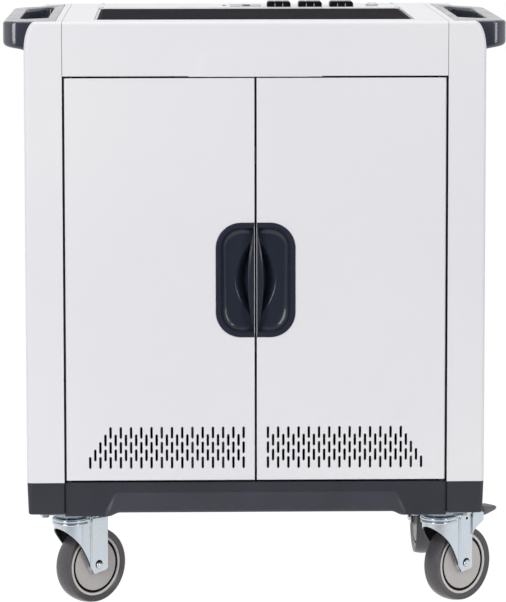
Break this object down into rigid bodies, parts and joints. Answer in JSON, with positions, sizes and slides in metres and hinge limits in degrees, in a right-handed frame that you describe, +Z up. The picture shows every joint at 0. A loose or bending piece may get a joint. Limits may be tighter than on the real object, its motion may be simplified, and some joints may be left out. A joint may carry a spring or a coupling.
{
  "type": "laptop charging cart",
  "caption": "Steel charging cart with twin vented doors, divided laptop bays, a ribbed top mat, outlets, side handles and swivel casters.",
  "frame": {"origin": "on the floor, under the middle of the cart", "axes": "+Z up; +Y towards the rear doors; +X to the right as seen from the front"},
  "size_m": [0.802, 0.603, 0.963],
  "materials": {
    "white_enamel": "fine powder-coated steel sheet, satin",
    "grey_enamel": "powder-coated steel sheet, satin",
    "black_enamel": "black powder-coated steel, satin",
    "dark_plastic": "moulded ABS, lightly textured",
    "gloss_plastic": "moulded ABS, glossy",
    "console_plastic": "moulded ABS, light grey",
    "grey_plastic": "moulded ABS, mid grey",
    "black_plastic": "moulded polycarbonate, black",
    "lens_plastic": "translucent acrylic",
    "divider_plastic": "polypropylene sheet",
    "mat_rubber": "ribbed rubber",
    "zinc_steel": "pressed steel, bright zinc plated",
    "wheel_plastic": "moulded nylon, warm grey",
    "tyre_rubber": "thermoplastic rubber tread",
    "pedal_plastic": "moulded nylon, grey",
    "chrome": "plated zinc casting"
  },
  "bodies": {
    "cabinet": {"button_bezel": "grey_plastic", "caster_beam_left": "black_enamel", "caster_beam_right": "black_enamel", "caster_bolts": "zinc_steel", "caster_plates": "zinc_steel", "ceiling_panel": "grey_enamel", "charge_controller": "black_enamel", "console_panel": "console_plastic", "console_screws": "zinc_steel", "control_module": "grey_plastic", "dividers_lower": "divider_plastic", "dividers_upper": "divider_plastic", "door_catches": "black_plastic", "end_cap_left": "dark_plastic", "end_cap_right": "dark_plastic", "floor_pan": "grey_enamel", "handle_left": "dark_plastic", "handle_right": "dark_plastic", "hinge_pins": "black_enamel", "indicator_lens": "lens_plastic", "inner_wall_left": "grey_enamel", "inner_wall_right": "grey_enamel", "mains_inlet": "black_plastic", "mid_shelf": "grey_enamel", "outlet_blocks": "black_plastic", "partition": "grey_enamel", "plinth_front": "dark_plastic", "plinth_rear": "dark_plastic", "power_strips": "black_enamel", "side_panel_left": "white_enamel", "side_panel_right": "white_enamel", "top_cover": "white_enamel", "top_mat": "mat_rubber"},
    "door_front_left": {"front_door_left": "white_enamel", "front_pull_left": "gloss_plastic"},
    "door_front_right": {"front_door_right": "white_enamel", "front_pull_right": "gloss_plastic"},
    "door_rear_left": {"rear_door_left": "white_enamel"},
    "door_rear_right": {"rear_door_right": "white_enamel", "rear_lock_barrel": "chrome"},
    "lock_cam": {"rear_lock_cam": "chrome"},
    "power_button": {"power_button": "grey_plastic"},
    "swivel_front_left": {"fork_front_left": "zinc_steel", "axle_front_left": "zinc_steel"},
    "wheel_front_left": {"hub_front_left": "wheel_plastic", "tyre_front_left": "tyre_rubber"},
    "swivel_front_right": {"fork_front_right": "zinc_steel", "axle_front_right": "zinc_steel"},
    "wheel_front_right": {"hub_front_right": "wheel_plastic", "tyre_front_right": "tyre_rubber"},
    "swivel_rear_left": {"fork_rear_left": "zinc_steel", "axle_rear_left": "zinc_steel"},
    "wheel_rear_left": {"hub_rear_left": "wheel_plastic", "tyre_rear_left": "tyre_rubber"},
    "swivel_rear_right": {"fork_rear_right": "zinc_steel", "axle_rear_right": "zinc_steel"},
    "wheel_rear_right": {"hub_rear_right": "wheel_plastic", "tyre_rear_right": "tyre_rubber"},
    "pedal_front_right": {"brake_pedal_front_right": "pedal_plastic"},
    "pedal_rear_left": {"brake_pedal_rear_left": "pedal_plastic"}
  },
  "joints": [
    {"name": "front_left_door_hinge", "type": "hinge", "parent": "cabinet", "child": "door_front_left", "pos_m": [-0.2985, -0.294, 0.542], "axis": [0, 0, -1], "range_deg": [0, 100]},
    {"name": "front_right_door_hinge", "type": "hinge", "parent": "cabinet", "child": "door_front_right", "pos_m": [0.2985, -0.294, 0.542], "axis": [0, 0, 1], "range_deg": [0, 100]},
    {"name": "rear_left_door_hinge", "type": "hinge", "parent": "cabinet", "child": "door_rear_left", "pos_m": [-0.2985, 0.294, 0.542], "axis": [0, 0, 1], "range_deg": [0, 100]},
    {"name": "rear_right_door_hinge", "type": "hinge", "parent": "cabinet", "child": "door_rear_right", "pos_m": [0.2985, 0.294, 0.542], "axis": [0, 0, -1], "range_deg": [0, 100]},
    {"name": "lock_cam_turn", "type": "hinge", "parent": "door_rear_right", "child": "lock_cam", "pos_m": [0.024, 0.29, 0.56], "axis": [0, -1, 0], "range_deg": [0, 90]},
    {"name": "power_button_press", "type": "slide", "parent": "cabinet", "child": "power_button", "axis": [0, 0, -1], "range_m": [0, 0.002], "stiffness_N_per_m": 400},
    {"name": "front_left_swivel", "type": "hinge", "parent": "cabinet", "child": "swivel_front_left", "pos_m": [-0.3, -0.227, 0.145], "axis": [0, 0, 1], "continuous": true},
    {"name": "front_left_roll", "type": "hinge", "parent": "swivel_front_left", "child": "wheel_front_left", "pos_m": [-0.26783, -0.2, 0.0625], "axis": [-0.6428, 0.766, 0], "continuous": true},
    {"name": "front_right_swivel", "type": "hinge", "parent": "cabinet", "child": "swivel_front_right", "pos_m": [0.3, -0.227, 0.145], "axis": [0, 0, 1], "continuous": true},
    {"name": "front_right_roll", "type": "hinge", "parent": "swivel_front_right", "child": "wheel_front_right", "pos_m": [0.33217, -0.2, 0.0625], "axis": [-0.6428, 0.766, 0], "continuous": true},
    {"name": "front_right_brake", "type": "hinge", "parent": "swivel_front_right", "child": "pedal_front_right", "pos_m": [0.35592, -0.18008, 0.141], "axis": [-0.6428, 0.766, 0], "range_deg": [0, 12]},
    {"name": "rear_left_swivel", "type": "hinge", "parent": "cabinet", "child": "swivel_rear_left", "pos_m": [-0.3, 0.227, 0.145], "axis": [0, 0, 1], "continuous": true},
    {"name": "rear_left_roll", "type": "hinge", "parent": "swivel_rear_left", "child": "wheel_rear_left", "pos_m": [-0.29707, 0.1851, 0.0625], "axis": [0.9976, 0.0698, 0], "continuous": true},
    {"name": "rear_left_brake", "type": "hinge", "parent": "swivel_rear_left", "child": "pedal_rear_left", "pos_m": [-0.29491, 0.15418, 0.141], "axis": [0.9976, 0.0698, 0], "range_deg": [0, 12]},
    {"name": "rear_right_swivel", "type": "hinge", "parent": "cabinet", "child": "swivel_rear_right", "pos_m": [0.3, 0.227, 0.145], "axis": [0, 0, 1], "continuous": true},
    {"name": "rear_right_roll", "type": "hinge", "parent": "swivel_rear_right", "child": "wheel_rear_right", "pos_m": [0.30147, 0.18503, 0.0625], "axis": [0.9994, 0.0349, 0], "continuous": true}
  ]
}
